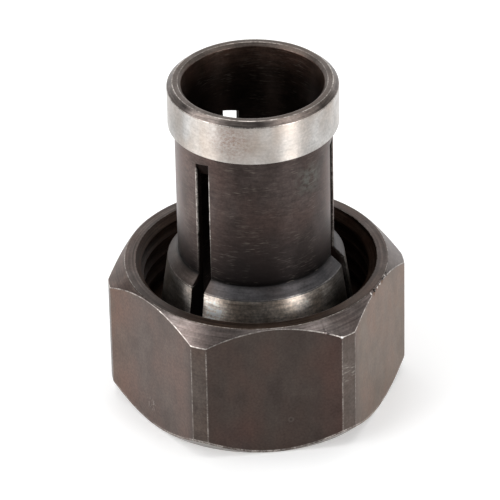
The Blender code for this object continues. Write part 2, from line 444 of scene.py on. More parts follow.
def tinted(tree, color, factors):
    """A colour with its red, green and blue each multiplied. factors is a socket or three numbers."""
    return add_node(tree, "VectorMath", {0: color, 1: factors}, operation="MULTIPLY").outputs[0]


def patched(tree, shade, places):
    """The shade with soft patches over it. Each place is a bearing, radius, height, size and gain."""
    for bearing, radius, z, size, gain in places:
        near = beside(tree, bearing, radius, z, size, 1.0)
        shade = scaled(tree, shade, remap(tree, near, 0, 1, 1.0, gain))
    return shade


def finish_steel(name, dark, light, tint, roughness, marks, contrast, bump=0.002, mottle=0.2, metallic=0.85,
                 anisotropy=0.0, scratches=0.0, specular=0.5, detail=None):
    """An oxide-blackened or ground steel. dark and light are mixed in soft blotches, and tint in wide ones.
    marks are the scales of the cutting marks (two numbers turned, three milled), contrast is how light and
    dark they are, and bump is their depth in millimetres. mottle is the strength of a fine even grain, and
    scratches that of short light lines. detail(tree, shade) adds what only this surface has."""
    material, tree, shader = new_material(name)
    blotch = remap(tree, speckle(tree, stretched(tree, (1, 1, 0.8)), 0.55, 3.0), 0.35, 0.65)
    wide = remap(tree, speckle(tree, stretched(tree, (0.35, 0.35, 0.2)), 1.0, 2.0), 0.42, 0.66)
    if len(marks) == 2:
        lines = turned_noise(tree, *marks, 3.0, 0.62)
    else:
        lines = speckle(tree, stretched(tree, marks), 1.0, 4.0, 0.65)
    grain = speckle(tree, position(tree), 4.5, 3.0, 0.6)
    shade = mix(tree, blotch, dark, light)
    shade = mix(tree, wide, shade, tint)
    factor = remap(tree, lines, *NOISE_RANGE, 1 - contrast, 1 + contrast)
    factor = times(tree, factor, remap(tree, grain, *NOISE_RANGE, 1 - mottle, 1 + mottle))
    shade = scaled(tree, shade, factor)
    if detail:
        shade = detail(tree, shade)
    if scratches:
        dashes = remap(tree, turned_noise(tree, 13.0, 9.0, 1.0, 0.5), 0.56, 0.72)
        where = remap(tree, speckle(tree, position(tree), 0.6, 2.0), 0.46, 0.62)
        share = times(tree, times(tree, dashes, where), scratches)
        shade = mix(tree, share, shade, SCRATCHED_OXIDE)
    worn = worn_share(tree)
    shade = mix(tree, worn, shade, WORN_STEEL)
    tree.links.new(shade, shader.inputs["Base Color"])
    rough = remap(tree, lines, *NOISE_RANGE, roughness - ROUGHNESS_SPREAD, roughness + ROUGHNESS_SPREAD)
    rough = add_node(tree, "Mix", {0: worn, 2: rough, 3: WORN_ROUGHNESS}).outputs[0]
    tree.links.new(rough, shader.inputs["Roughness"])
    relief = add_node(tree, "Bump", {"Height": lines, "Distance": bump * MM, "Strength": 1.0})
    tree.links.new(relief.outputs[0], shader.inputs["Normal"])
    shader.inputs["Metallic"].default_value = metallic
    shader.inputs["Specular IOR Level"].default_value = specular
    if anisotropy:
        shader.inputs["Anisotropic"].default_value = anisotropy
        shader.inputs["Anisotropic Rotation"].default_value = GRAIN_TURN
        tangent = add_node(tree, "Tangent", direction_type="RADIAL", axis="Z")
        tree.links.new(tangent.outputs[0], shader.inputs["Tangent"])
    return material


# Mesh helpers

class Corner:
    """A corner of a section: where it is, how far its rounding reaches, how worn that is, and the finish of
    the face that follows it."""

    def __init__(self, radius, z, reach=0.0, wear=0.0, zone=0):
        self.at = np.array((radius, z), float)
        self.reach = reach
        self.wear = wear
        self.zone = zone


def rounded(corners):
    """Points (radius, z, wear, zone) of a section, with each corner that has a reach drawn as a short curve
    between two support points, which keep the shading of the faces beside it flat."""
    points = []
    for index, corner in enumerate(corners):
        inner = 0 < index < len(corners) - 1
        if not corner.reach or not inner:
            points.append((*corner.at, corner.wear, corner.zone))
            continue
        before = corners[index - 1]
        after = corners[index + 1]
        back = before.at - corner.at
        ahead = after.at - corner.at
        reach = min(corner.reach, REACH_LIMIT * np.hypot(*back), REACH_LIMIT * np.hypot(*ahead))
        back = back / np.hypot(*back) * reach
        ahead = ahead / np.hypot(*ahead) * reach
        points.append((*(corner.at + back * SUPPORT), 0.0, before.zone))
        for u in ARC_STEPS:
            place = corner.at + back * (1 - u) ** 2 + ahead * u ** 2
            wear = corner.wear * math.sin(math.pi * u)
            points.append((*place, wear, corner.zone))
        points.append((*(corner.at + ahead * SUPPORT), 0.0, corner.zone))
    return points


def make_piece(name, coordinates, faces, zones, wear, materials):
    """A closed mesh from points in millimetres, with points that coincide merged."""
    bm = bmesh.new()
    marked = bm.verts.layers.float.new("wear")
    verts = []
    for place, worn in zip(coordinates, wear):
        vert = bm.verts.new(place)
        vert[marked] = worn
        verts.append(vert)
    for corners, zone in zip(faces, zones):
        face = bm.faces.new([verts[i] for i in corners])
        face.material_index = zone
        face.smooth = True
    bmesh.ops.remove_doubles(bm, verts=bm.verts, dist=MERGE_DISTANCE)
    bmesh.ops.dissolve_degenerate(bm, edges=bm.edges, dist=LEAST_LENGTH)
    bmesh.ops.recalc_face_normals(bm, faces=bm.faces)
    bmesh.ops.scale(bm, vec=(MM, MM, MM), verts=bm.verts)
    mesh = bpy.data.meshes.new(name)
    bm.to_mesh(mesh)
    bm.free()
    mesh.set_sharp_from_angle(angle=math.radians(SHARP_DEGREES))
    for material in materials:
        mesh.materials.append(material)
    piece = bpy.data.objects.new(name, mesh)
    bpy.context.scene.collection.objects.link(piece)
    return piece


# Nut

def nut_columns():
    """The angles, in degrees from +X, at which the nut's section is drawn: closest where a flat meets a
    corner, and round the nicks."""
    spread = math.degrees(EDGE_SPREAD / CORNER_R)
    columns = set()
    for k in range(6):
        middle = 30 + 60 * k
        for step in range(FLAT_COLUMNS + 1):
            share = 2 * step / FLAT_COLUMNS - 1
            columns.add(round(middle + share * (STRIP_START - EDGE_MARGIN * spread), 4))
        for side in (-1, 1):
            for step in EDGE_COLUMNS:
                columns.add(round(middle + side * (STRIP_START + step * spread), 4))
        for step in range(STRIP_COLUMNS):
            share = 2 * step / (STRIP_COLUMNS - 1) - 1
            half = 30 - STRIP_START - EDGE_MARGIN * spread
            columns.add(round((middle + 30 + share * half) % 360, 4))
    for bearing, _, size, _ in NICKS:
        step = math.degrees(size / FLAT_R) / 4
        for k in range(-5, 6):
            columns.add(round((bearing - 90 + k * step) % 360, 4))
    return sorted(c % 360 for c in columns)


def nut_radius(degrees):
    """The nut's outer radius at this angle from +X: the hexagon, with its corners turned off and the edges
    softened."""
    off = (degrees % 60) - 30
    flat = FLAT_R / math.cos(math.radians(off))
    near = max(EDGE_BLEND - abs(flat - CORNER_R), 0) / EDGE_BLEND
    return min(flat, CORNER_R) - near * near * EDGE_BLEND / 4


def thread_radius(turn, z):
    """The inside of the thread at this share of a turn, with the mouth's chamfer over it."""
    phase = ((z - RELIEF_HIGH_Z) / PITCH - turn) % 1
    off = abs(phase - 0.5) * PITCH
    flank = (PITCH - THREAD_ROOT_WIDTH - THREAD_CREST_WIDTH) / 2
    depth = min(max((off - THREAD_ROOT_WIDTH / 2) / flank, 0), 1)
    thread = THREAD_MAJOR_R - (THREAD_MAJOR_R - THREAD_MINOR_R) * depth
    fade = MOUTH_R - THREAD_FADE_GAP + (NUT_HEIGHT - z) * THREAD_FADE_SLOPE
    chamfer = MOUTH_R - (NUT_HEIGHT - z)
    return max(chamfer, min(thread, fade))


def thread_rows(turn):
    """Points down the thread. The rows climb with the helix, and they are held at the thread's two ends."""
    top = NUT_HEIGHT - THREAD_TOP_GAP
    count = math.ceil((top - RELIEF_HIGH_Z + PITCH) / PITCH * ROWS_PER_PITCH)
    points = []
    for k in range(count, -1, -1):
        z = RELIEF_HIGH_Z - PITCH + (k / ROWS_PER_PITCH + turn) * PITCH
        z = min(max(z, RELIEF_HIGH_Z), top)
        points.append((thread_radius(turn, z), z, 0.0, INSIDE))
    return points


def upper_reach(degrees):
    """How far the upper edge is rubbed off at this angle from +X. It is most so at the left front corner."""
    off = math.radians(degrees - (MOST_RUBBED - 90))
    return EDGE_REACH + RUBBED_REACH * max(math.cos(off), 0) ** RUBBED_FOCUS


def nut_section(degrees):
    """The nut's whole section at this angle from +X, up the outside and down the inside."""
    outer = nut_radius(degrees)
    drop = outer - FACE_R
    upper_cone = (THREAD_MINOR_R, NUT_HEIGHT - (MOUTH_R - THREAD_MINOR_R))
    outside = [
        Corner(HOLE_R + HOLE_CHAMFER, 0, zone=RIM),
        Corner(FACE_R, 0, EDGE_REACH, 0.9, CHAMFER),
        Corner(outer, drop, LOWER_REACH, 1.3, MILLED),
        Corner(outer, drop + LOWER_LINE, 0, 0.8, MILLED),
        *(Corner(outer, drop + step, zone=MILLED) for step in SIDE_ROWS),
        *(Corner(outer, NUT_HEIGHT - drop - step, zone=MILLED) for step in reversed(SIDE_ROWS)),
        Corner(outer, NUT_HEIGHT - drop, upper_reach(degrees), 1.0, CHAMFER),
        Corner(FACE_R, NUT_HEIGHT, EDGE_REACH, 0.55, RIM),
        *(Corner(FACE_R - step, NUT_HEIGHT, zone=RIM) for step in RIM_ROWS),
        Corner(MOUTH_R, NUT_HEIGHT, EDGE_REACH / 2, 0.3, INSIDE),
        Corner(*upper_cone, zone=INSIDE),
    ]
    inside = [
        Corner(RELIEF_R, RELIEF_HIGH_Z),
        Corner(RELIEF_R, RELIEF_LOW_Z),
        Corner(POCKET_R, RELIEF_LOW_Z),
        Corner(POCKET_R, NUT_GROOVE_HIGH_Z),
        Corner(NUT_GROOVE_R, NUT_GROOVE_HIGH_Z),
        Corner(NUT_GROOVE_R, NUT_GROOVE_LOW_Z),
        Corner(POCKET_R, NUT_GROOVE_LOW_Z),
        Corner(POCKET_R, SEAT_HIGH_Z),
        Corner(HOLE_R, SEAT_LOW_Z),
        Corner(HOLE_R, HOLE_CHAMFER),
    ]
    for corner in inside:
        corner.zone = INSIDE
    upper = rounded(outside)[:-1]
    return upper, thread_rows((degrees % 360) / 360), rounded(inside)


def nick_depth(place):
    """How far the nicks push this point in."""
    depth = 0.0
    for bearing, z, size, deep in NICKS:
        angle = math.radians(bearing - 90)
        centre = Vector(around(nut_radius(bearing - 90), angle, z))
        away = (place - centre).length / size
        if away < 1:
            depth = max(depth, deep * (1 - away) ** NICK_SHAPE)
    return depth


def side_wear(degrees):
    """How worn the edge between a flat and a turned corner is at this angle from +X."""
    off = abs(abs((degrees % 60) - 30) - STRIP_START)
    return SIDE_WEAR * max(1 - off / SIDE_WEAR_WIDTH, 0)


def nut_column(degrees, section):
    """The points of one column, pushed in a little where they are worn or chipped, and how worn each is."""
    angle = math.radians(degrees)
    side = side_wear(degrees)
    points = []
    wear = []
    for radius, z, worn, zone in section:
        place = Vector(around(radius, angle, z))
        if worn > 0:
            uneven = noise.noise(place * COARSE_WEAR) + 0.5 * noise.noise(place * FINE_WEAR)
            radius -= worn * WEAR_DEPTH * (1 + uneven)
        chipped_off = nick_depth(place) if radius > MOUTH_R else 0.0
        if chipped_off > 0:
            radius -= chipped_off
            worn = 0.0
        points.append(around(radius, angle, z))
        from_top = nut_radius(degrees) - FACE_R + (z - NUT_HEIGHT)
        below = min(max(-from_top - SIDE_WEAR_START, 0) / SIDE_WEAR_FADE, 1)
        wear.append(max(worn, side * below) if zone == MILLED else worn)
    return points, wear


def make_nut(materials):
    """The nut as one closed mesh: columns of sections round the axis."""
    columns = nut_columns()
    coordinates = []
    wear = []
    for degrees in columns:
        upper, thread, lower = nut_section(degrees)
        section = upper + thread + lower
        points, worn = nut_column(degrees, section)
        coordinates += points
        wear += worn
    rows = len(section)
    first = len(upper)
    last = first + len(thread) - 1

    def following(row, seam):
        """The row of the next column that carries on from this one. The thread climbs a pitch at the seam."""
        if seam and first <= row <= last:
            return max(row - ROWS_PER_PITCH, first)
        return row

    faces = []
    zones = []
    for c, degrees in enumerate(columns):
        after = (c + 1) % len(columns)
        seam = after == 0
        middle = (degrees + columns[after] + (360 if seam else 0)) / 2
        strip = abs((middle % 60) - 30) > STRIP_START
        for q in range(rows):
            below = (q + 1) % rows
            right, right_below = following(q, seam), following(below, seam)
            if right == right_below:
                continue
            faces.append((c * rows + q, after * rows + right, after * rows + right_below, c * rows + below))
            zone = section[q][3]
            zones.append(STRIP if zone == MILLED and strip else zone)
    return make_piece("nut_body", coordinates, faces, zones, wear, materials)


# Collet

def collet_rows():
    """The collet's section as rows (radius, z, wear, zone), up the outside and down the bore, with the index
    of the row where the slots end outside and of the one where they end in the bore."""
    lower = [
        Corner(BORE_R + NOSE_BORE_CHAMFER, NOSE_Z, zone=HIDDEN),
        Corner(NOSE_R, NOSE_Z, 0.06, 0.3, HIDDEN),
        Corner(NOSE_R, CONE_LOW_Z, zone=GROUND),
        Corner(HEAD_R, CONE_HIGH_Z, 0.08, 0.3, HIDDEN),
        Corner(HEAD_R, COLLET_GROOVE_LOW_Z, zone=HIDDEN),
        Corner(COLLET_GROOVE_R, COLLET_GROOVE_LOW_Z, zone=HIDDEN),
        Corner(COLLET_GROOVE_R, COLLET_GROOVE_HIGH_Z, zone=HIDDEN),
        Corner(HEAD_R, COLLET_GROOVE_HIGH_Z, zone=HIDDEN),
        Corner(HEAD_R, TAPER_LOW_Z, 0.08, 0.3, TAPER),
        Corner(TAPER_SMALL_R, TAPER_HIGH_Z, 0.10, 0.3, FLARE),
        Corner(SLEEVE_R, SLEEVE_LOW_Z, 0.06, 0, SLEEVE),
        *(Corner(SLEEVE_R, SLOT_END_Z - step, zone=SLEEVE) for step in SLEEVE_ROWS),
        Corner(SLEEVE_R, SLOT_END_Z, zone=SLEEVE),
    ]
    edge_rows = [(SLEEVE_R, SLOT_END_Z + step * SLOT_EDGE, 0.0, SLEEVE) for step in SLOT_EDGE_COLUMNS]
    upper = [
        Corner(SLEEVE_R, SLOT_END_Z + SLOT_END_MARGIN, zone=SLEEVE),
        Corner(SLEEVE_R, BAND_LOW_Z, 0.05, 0, GROUND),
        Corner(BAND_R, BAND_LOW_Z, 0.07, 0.2, GROUND),
        Corner(BAND_R, REAR_Z - BAND_CHAMFER_HEIGHT, 0.07, 0.9, EDGE),
        Corner(BAND_R - BAND_CHAMFER_WIDTH, REAR_Z, 0.07, 1.0, LAND),
        Corner(BORE_R + REAR_BORE_CHAMFER, REAR_Z, 0.06, 0.6, LAND),
        Corner(BORE_R, REAR_Z - REAR_BORE_CHAMFER, 0.06, 0.2, BORE),
        Corner(BORE_R, SLOT_END_Z - SLOT_END_DROP + SLOT_END_MARGIN, zone=BORE),
    ]
    below = rounded(lower)
    rows = below + edge_rows + rounded(upper)
    for step in reversed(SLOT_EDGE_COLUMNS):
        rows.append((BORE_R, SLOT_END_Z - SLOT_END_DROP + step * SLOT_EDGE, 0.0, BORE))
    outer_end = len(below) - 1
    bore_end = len(rows)
    rows += reversed(bore_rows_beside(below))
    return rows, outer_end, bore_end


def bore_rows_beside(outside):
    """One row of the bore for each row of the outside up to the slots' end, as the slots' walls need."""
    rows = []
    lowest = NOSE_Z + NOSE_BORE_CHAMFER
    shrink = (SLOT_END_Z - SLOT_END_DROP - SLEEVE_LOW_Z) / (SLOT_END_Z - SLEEVE_LOW_Z)
    for _, z, _, _ in outside:
        height = SLEEVE_LOW_Z + (z - SLEEVE_LOW_Z) * shrink if z > SLEEVE_LOW_Z else z
        lowest = max(height, lowest)
        rows.append((BORE_R, lowest, 0.0, BORE))
        lowest += BORE_ROW_STEP
    return rows


def row_normals(rows):
    """The outward direction (radial, axial) at each row of the closed section."""
    places = np.array([row[:2] for row in rows])
    ahead = np.roll(places, -1, axis=0) - places
    ahead = ahead / np.maximum(np.hypot(*ahead.T), 1e-9)[:, None]
    along = ahead + np.roll(ahead, 1, axis=0)
    along = along / np.maximum(np.hypot(*along.T), 1e-9)[:, None]
    return np.column_stack((along[:, 1], -along[:, 0]))


def collet_columns():
    """Where the columns stand: (slot, offset across it, None) beside and in a slot, and (slot, edge offset,
    share) between it and the next one. With them, the columns that lie in a slot."""
    columns = []
    in_slot = []
    edge = SLOT_HALF_WIDTH + SLOT_EDGE * SLOT_EDGE_COLUMNS[-1]
    for slot in range(SLOT_COUNT):
        for step in reversed(SLOT_EDGE_COLUMNS):
            columns.append((slot, -SLOT_HALF_WIDTH - step * SLOT_EDGE, None))
        inside = []
        for step in range(SLOT_COLUMNS + 1):
            inside.append(len(columns))
            columns.append((slot, SLOT_HALF_WIDTH * (2 * step / SLOT_COLUMNS - 1), None))
        in_slot.append(inside)
        for step in SLOT_EDGE_COLUMNS:
            columns.append((slot, SLOT_HALF_WIDTH + step * SLOT_EDGE, None))
        for step in range(1, FINGER_COLUMNS):
            columns.append((slot, edge, step / FINGER_COLUMNS))
    return columns, in_slot


def column_angle(column, radius):
    """The angle from +X of a column at this radius."""
    slot, offset, share = column
    spacing = 2 * math.pi / SLOT_COUNT
    middle = math.radians(FIRST_SLOT_DEGREES - 90) + slot * spacing
    lean = math.asin(offset / radius)
    if share is None:
        return middle + lean
    return middle + lean + share * (spacing - 2 * lean)


def end_tilt(offset, share, above):
    """How far up the slots' slanting ends move a point: offset across the slot, at this share of the way to
    the next one, and this far above the end."""
    if abs(above) > TILT_REACH:
        return 0.0
    if share is None:
        return SLOT_END_TILT * offset
    return SLOT_END_TILT * offset * (max(1 - share / TILT_FADE, 0) - max(1 - (1 - share) / TILT_FADE, 0))


def edge_rounding(past_edge, above):
    """How far a slot's edge is rounded off at a point this far past its side and above its end, and how near
    the edge the point is, from 0 to 1."""
    away = math.hypot(max(past_edge, 0), max(above, 0)) / SLOT_EDGE
    if away >= 1:
        return 0.0, 0.0
    return SLOT_EDGE * (1 - math.sqrt(1 - (1 - away) ** 2)), 1 - away * away


def slot_wear(column, past_edge, near, z, end):
    """How worn the outside is beside a slot that ends at this height. The front slot's two edges are worn in
    lines of their own, which fade towards its foot."""
    slot, offset, _ = column
    worn = near
    rubbed = OTHER_SLOT_WEAR
    start = SLOT_WEAR_START
    if slot == 0:
        worn = RIGHT_EDGE_WEAR if offset > 0 else LEFT_EDGE_WEAR
        worn *= max(1 - past_edge / FRONT_EDGE_WIDTH, 0)
        worn *= min(max((z - FRONT_WEAR_LOW_Z) / FRONT_WEAR_RISE, FRONT_WEAR_LEAST), 1)
        rubbed = SLOT_EDGE_WEAR
        start = RIGHT_WEAR_START if offset > 0 else SLOT_WEAR_START
    worn *= min(max((end - z - start) / SLOT_WEAR_FADE, 0), 1)
    if z < SLEEVE_LOW_Z:
        worn *= LOW_EDGE_WEAR
    return worn * rubbed


def collet_points(rows, columns, outer_end, bore_end):
    """The points of all the collet's columns, rounded off at the slots' edges, and how worn each is."""
    normals = row_normals(rows)
    coordinates = []
    wear = []
    for column in columns:
        _, offset, share = column
        past_edge = abs(offset) - SLOT_HALF_WIDTH if share is None else 1.0
        for q, (radius, z, worn, _) in enumerate(rows):
            outside = q < (outer_end + bore_end) / 2
            end = SLOT_END_Z if outside else SLOT_END_Z - SLOT_END_DROP
            deep, near = edge_rounding(past_edge, z - end)
            angle = column_angle(column, radius)
            radius -= deep * normals[q][0]
            height = z - deep * normals[q][1] + end_tilt(offset, share, z - end)
            coordinates.append(around(radius, angle, height))
            wear.append(max(worn, slot_wear(column, past_edge, near, z, end)) if outside else worn)
    return coordinates, wear


def lay_wall(outer_path, inner_path, coordinates, wear):
    """The faces of a slot's wall between two lines of points, with rows of new points between them."""
    lines = [outer_path]
    for step in range(1, WALL_STEPS):
        share = step / WALL_STEPS
        line = []
        for a, b in zip(outer_path, inner_path):
            line.append(len(coordinates))
            between = np.array(coordinates[a]) * (1 - share) + np.array(coordinates[b]) * share
            coordinates.append(tuple(between))
            wear.append(0.0)
        lines.append(line)
    lines.append(inner_path)
    faces = []
    for first, second in zip(lines, lines[1:]):
        for k in range(len(first) - 1):
            faces.append((first[k], second[k], second[k + 1], first[k + 1]))
    return faces


def make_collet(materials):
    """The collet as one closed mesh: columns round the axis, left open in the slots, whose walls and ends are
    laid between the outside and the bore."""
    rows, outer_end, bore_end = collet_rows()
    columns, in_slot = collet_columns()
    count = len(rows)
    coordinates, wear = collet_points(rows, columns, outer_end, bore_end)
    faces = []
    zones = []
    slot_strips = {pair for inside in in_slot for pair in zip(inside, inside[1:])}
    for c in range(len(columns)):
        after = (c + 1) % len(columns)
        for q in range(count):
            above = (q + 1) % count
            if (c, after) in slot_strips and (q < outer_end or q >= bore_end):
                continue
            faces.append((c * count + q, after * count + q, after * count + above, c * count + above))
            zones.append(rows[q][3])

    bottom = count - 1
    for inside in in_slot:
        outer_path = [inside[0] * count + q for q in range(outer_end + 1)]
        inner_path = [inside[0] * count + bottom - q for q in range(outer_end + 1)]
        outer_path += [c * count + outer_end for c in inside[1:-1]]
        inner_path += [c * count + bore_end for c in inside[1:-1]]
        outer_path += [inside[-1] * count + q for q in range(outer_end, -1, -1)]
        inner_path += [inside[-1] * count + bottom - q for q in range(outer_end, -1, -1)]
        walls = lay_wall(outer_path, inner_path, coordinates, wear)
        faces += walls
        zones += [HIDDEN] * len(walls)
    return make_piece("collet_body", coordinates, faces, zones, wear, materials)


# Snap ring

def make_snap_ring(material):
    """A C of round wire with rounded ends, its gap towards +X."""
    wire_r = (RING_BOX[1].z - RING_BOX[0].z) / 2
    middle_r = RING_BOX[1].y - wire_r
    middle_z = (RING_BOX[0].z + RING_BOX[1].z) / 2
    half_gap = math.radians(RING_GAP_DEGREES / 2)
    coordinates = []
    faces = []
    for step in range(RING_STEPS + 1):
        angle = half_gap + (2 * math.pi - 2 * half_gap) * step / RING_STEPS
        from_end = min(step, RING_STEPS - step)
        size = wire_r * RING_END_SIZES[from_end] if from_end < len(RING_END_SIZES) else wire_r
        for k in range(WIRE_SIDES):
            turn = 2 * math.pi * k / WIRE_SIDES
            radius = middle_r + size * math.cos(turn)
            coordinates.append(around(radius, angle, middle_z + size * math.sin(turn)))
    for step in range(RING_STEPS):
        for k in range(WIRE_SIDES):
            after = (k + 1) % WIRE_SIDES
            a, b = step * WIRE_SIDES, (step + 1) * WIRE_SIDES
            faces.append((a + k, b + k, b + after, a + after))
    faces.append(tuple(range(WIRE_SIDES)))
    faces.append(tuple(RING_STEPS * WIRE_SIDES + k for k in reversed(range(WIRE_SIDES))))
    zones = [0] * len(faces)
    wear = [0.0] * len(coordinates)
    return make_piece("snap_ring_wire", coordinates, faces, zones, wear, [material])


# Floor and world

def add_floor():
    """A wide pale floor that takes the part's soft shadow and shows white where it is fully lit."""
    bpy.ops.mesh.primitive_plane_add(size=FLOOR_SIZE * MM)
    floor = bpy.context.object
    floor.name = "floor"
    floor.location.z = FLOOR_Z * MM
    material, tree, shader = new_material("floor")
    shader.inputs["Base Color"].default_value = (*FLOOR_COLOR, 1)
    shader.inputs["Roughness"].default_value = FLOOR_ROUGHNESS
    shader.inputs["Specular IOR Level"].default_value = 0
    shader.inputs["Emission Color"].default_value = (1, 1, 1, 1)
    rays = add_node(tree, "LightPath").outputs
    seen = calc(tree, "MAXIMUM", rays["Is Camera Ray"], rays["Is Glossy Ray"])
    seen = calc(tree, "MAXIMUM", seen, rays["Is Transmission Ray"])
    tree.links.new(times(tree, seen, FLOOR_LIFT), shader.inputs["Emission Strength"])
    floor.data.materials.append(material)


def add_world():
    """Faint plain light from all round."""
    world = bpy.data.worlds.new("world")
    bpy.context.scene.world = world
    world.use_nodes = True
    background = world.node_tree.nodes["Background"]
    background.inputs["Color"].default_value = (1, 1, 1, 1)
    background.inputs["Strength"].default_value = WORLD_LIGHT


# Details of single surfaces

def chipped(tree, shade):
    """Dark pits with light crumbs where the rear rim is chipped, and one rubbed corner."""
    for bearing, z, size in PITS:
        pit = beside(tree, bearing, FLAT_R, z, size, 0.4)
        shade = mix(tree, pit, shade, PIT_COLOR)
    for bearing, z, size in CRUMBS:
        crumb = beside(tree, bearing, FLAT_R, z, size, 0.4)
        shade = mix(tree, crumb, shade, CRUMB_COLOR)
    return mix(tree, beside(tree, *RUBBED_CORNER, 0.19, 0.8), shade, RUBBED_COLOR)


def rim_detail(tree, shade):
    """The rim is browner and darker at the front than at its sides."""
    y = xyz(tree)[1]
    front = remap(tree, y, -10.5, -3.0, 1.0, 0.0)
    shade = mix(tree, front, shade, tinted(tree, shade, (0.82, 0.70, 0.58)))
    shade = patched(tree, shade, RIM_PATCHES)
    return chipped(tree, shade)


def milled_detail(tree, shade):
    """The front flat is darker, as painted shade, and has a reddish patch and a ring-like spot. The side
    flats are lighter, as painted light; the left one has a few light specks and is browner far back, and the
    right one is lighter still and warmer."""
    x, y, _ = xyz(tree)
    # Painted shade on the front flat, reddish towards its right, and painted light on the side flats, most on
    # the right one.
    front = remap(tree, y, -12.05, -10.4, 1.0, 0.0)
    right = remap(tree, x, 5.5, 7.5)
    sides = mix(tree, right, (1.36, 1.27, 1.30), (1.84, 1.62, 1.42))
    shaded_fronts = mix(tree, remap(tree, x, 3.2, 5.6), (0.59, 0.55, 0.56), (0.68, 0.52, 0.52))
    shade = tinted(tree, shade, mix(tree, front, sides, shaded_fronts))
    far_left = times(tree, remap(tree, y, -4.5, -1.5), remap(tree, x, -10, -11))
    shade = mix(tree, far_left, shade, tinted(tree, shade, (1.10, 0.96, 0.86)))
    red = beside(tree, *RED_PLACE, 2.6, 1.0)
    shade = mix(tree, red, shade, tinted(tree, shade, (1.16, 0.94, 0.94)))
    spot = beside(tree, *SPOT_PLACE, 0.34, 0.35)
    middle = beside(tree, *SPOT_PLACE, 0.2, 0.5)
    shade = mix(tree, times(tree, spot, 0.22), shade, (0.14, 0.12, 0.11))
    shade = mix(tree, times(tree, middle, 0.8), shade, (0.03, 0.022, 0.018))
    specks = remap(tree, speckle(tree, position(tree), 5.0, 2.0), 0.54, 0.62)
    specks = times(tree, specks, beside(tree, *SPECKS_PLACE, 0.9, 0.8))
    shade = mix(tree, times(tree, specks, 0.6), shade, (0.34, 0.31, 0.29))
    return chipped(tree, shade)


def strip_detail(tree, shade):
    """The left front strip has painted shade and the right one painted light, and the right one has short
    scratches.
    """
    x = xyz(tree)[0]
    # Painted shade on the left front strip and painted light on the right one.
    shade = scaled(tree, shade, remap(tree, x, -2, 2, 0.88, 1.08))
    marks = remap(tree, speckle(tree, stretched(tree, (1.2, 1.2, 5.0)), 1.0, 2.0), 0.54, 0.62)
    share = times(tree, beside(tree, *STRIP_MARKS_PLACE, 1.1), marks)
    shade = mix(tree, times(tree, share, 0.5), shade, (0.34, 0.31, 0.28))
    return chipped(tree, shade)


def ground_detail(tree, shade):
    """A rusty patch and a wider brown one at the band's front, and patches of painted light and shade round
    it.
    """
    rust = remap(tree, speckle(tree, stretched(tree, (1, 1, 1.6)), 3.4, 4.0, 0.8), 0.38, 0.66)
    patch = times(tree, beside(tree, *RUST_PLACE, 2.6, 1.0), rust)
    shade = mix(tree, patch, shade, (0.20, 0.075, 0.04))
    brown = beside(tree, *BROWN_PLACE, 6.0, 1.0)
    shade = mix(tree, times(tree, brown, 0.35), shade, (0.42, 0.33, 0.26))
    return patched(tree, shade, BAND_LIGHT_AND_SHADE)


def sleeve_detail(tree, shade):
    """The sleeve has painted shade in the middle and near-black painted shade at its foot and at the crease
    above the flare, painted light at its sides, and is grey-green in a patch on its right.
    """
    x, _, z = xyz(tree)
    aside = calc(tree, "ABSOLUTE", x)
    # Painted shade in the middle and painted light at the sides.
    shade = scaled(tree, shade, remap(tree, aside, 2.5, 6.3, 0.80, 1.35))
    shade = mix(tree, remap(tree, aside, 5.2, 6.9), shade, tinted(tree, shade, (1.56, 1.45, 1.38)))
    shade = patched(tree, shade, SLEEVE_SHADE_PATCHES)
    # Near-black painted shade at the foot and in the crease above the flare.
    foot = remap(tree, z, 15.0, 21.0, 1.0, 0.0)
    shade = mix(tree, times(tree, foot, 0.9), shade, (0.011, 0.0085, 0.0085))
    shade = scaled(tree, shade, remap(tree, z, SLEEVE_LOW_Z + 0.05, SLEEVE_LOW_Z + 0.5, 0.2, 1.0))
    patch = remap(tree, speckle(tree, position(tree), 1.5, 3.0, 0.6), 0.40, 0.60)
    patch = times(tree, beside(tree, *GREEN_PLACE, 2.0, 1.0), patch)
    return mix(tree, patch, shade, (0.105, 0.108, 0.095))


def bore_detail(tree, shade):
    """The bore is lighter near its open rear end, as painted light, and darker deeper in, as painted shade.
    """
    z = xyz(tree)[2]
    return scaled(tree, shade, remap(tree, z, 29.0, 31.2, 0.65, 2.4))


def edge_detail(tree, shade):
    """The outer chamfer has painted light at the left and at the right, and painted highlights in two places
    at the front.
    """
    x = xyz(tree)[0]
    shade = scaled(tree, shade, remap(tree, calc(tree, "ABSOLUTE", x), 3, 7, 0.95, 1.6))
    return patched(tree, shade, EDGE_HIGHLIGHTS)


def chamfer_detail(tree, shade):
    """The rear chamfer has a painted highlight at the left of the left front corner, painted shade at the
    right of it, towards the right and at the far left, where it is also browner. The front chamfer is lighter
    all round, as a painted reflection of the floor."""
    x, _, z = xyz(tree)
    # A painted highlight and painted shade on the rear chamfer, and a painted reflection of the floor on the
    # front one.
    light = beside(tree, *CHAMFER_HIGHLIGHT_PLACE, 2.6, 0.8)
    dark = beside(tree, *CHAMFER_SHADE_PLACE, 2.8, 0.6)
    shade = mix(tree, remap(tree, x, -12, -10, 1.0, 0.0), shade, tinted(tree, shade, (0.78, 0.66, 0.60)))
    shade = scaled(tree, shade, remap(tree, light, 0, 1, 1.0, 1.5))
    shade = scaled(tree, shade, remap(tree, x, 2, 6, 1.0, 0.84))
    shade = scaled(tree, shade, remap(tree, x, -10, -8, 0.86, 1.0))
    shade = scaled(tree, shade, remap(tree, dark, 0, 1, 1.0, 0.55))
    shade = mix(tree, remap(tree, z, 1, 3, 0.85, 0.0), shade, (0.30, 0.28, 0.265))
    return chipped(tree, shade)


def inside_detail(tree, shade):
    """The mouth has painted shade, darkest at its right."""
    x = xyz(tree)[0]
    return scaled(tree, shade, remap(tree, x, -4, 7, 0.7, 0.3))


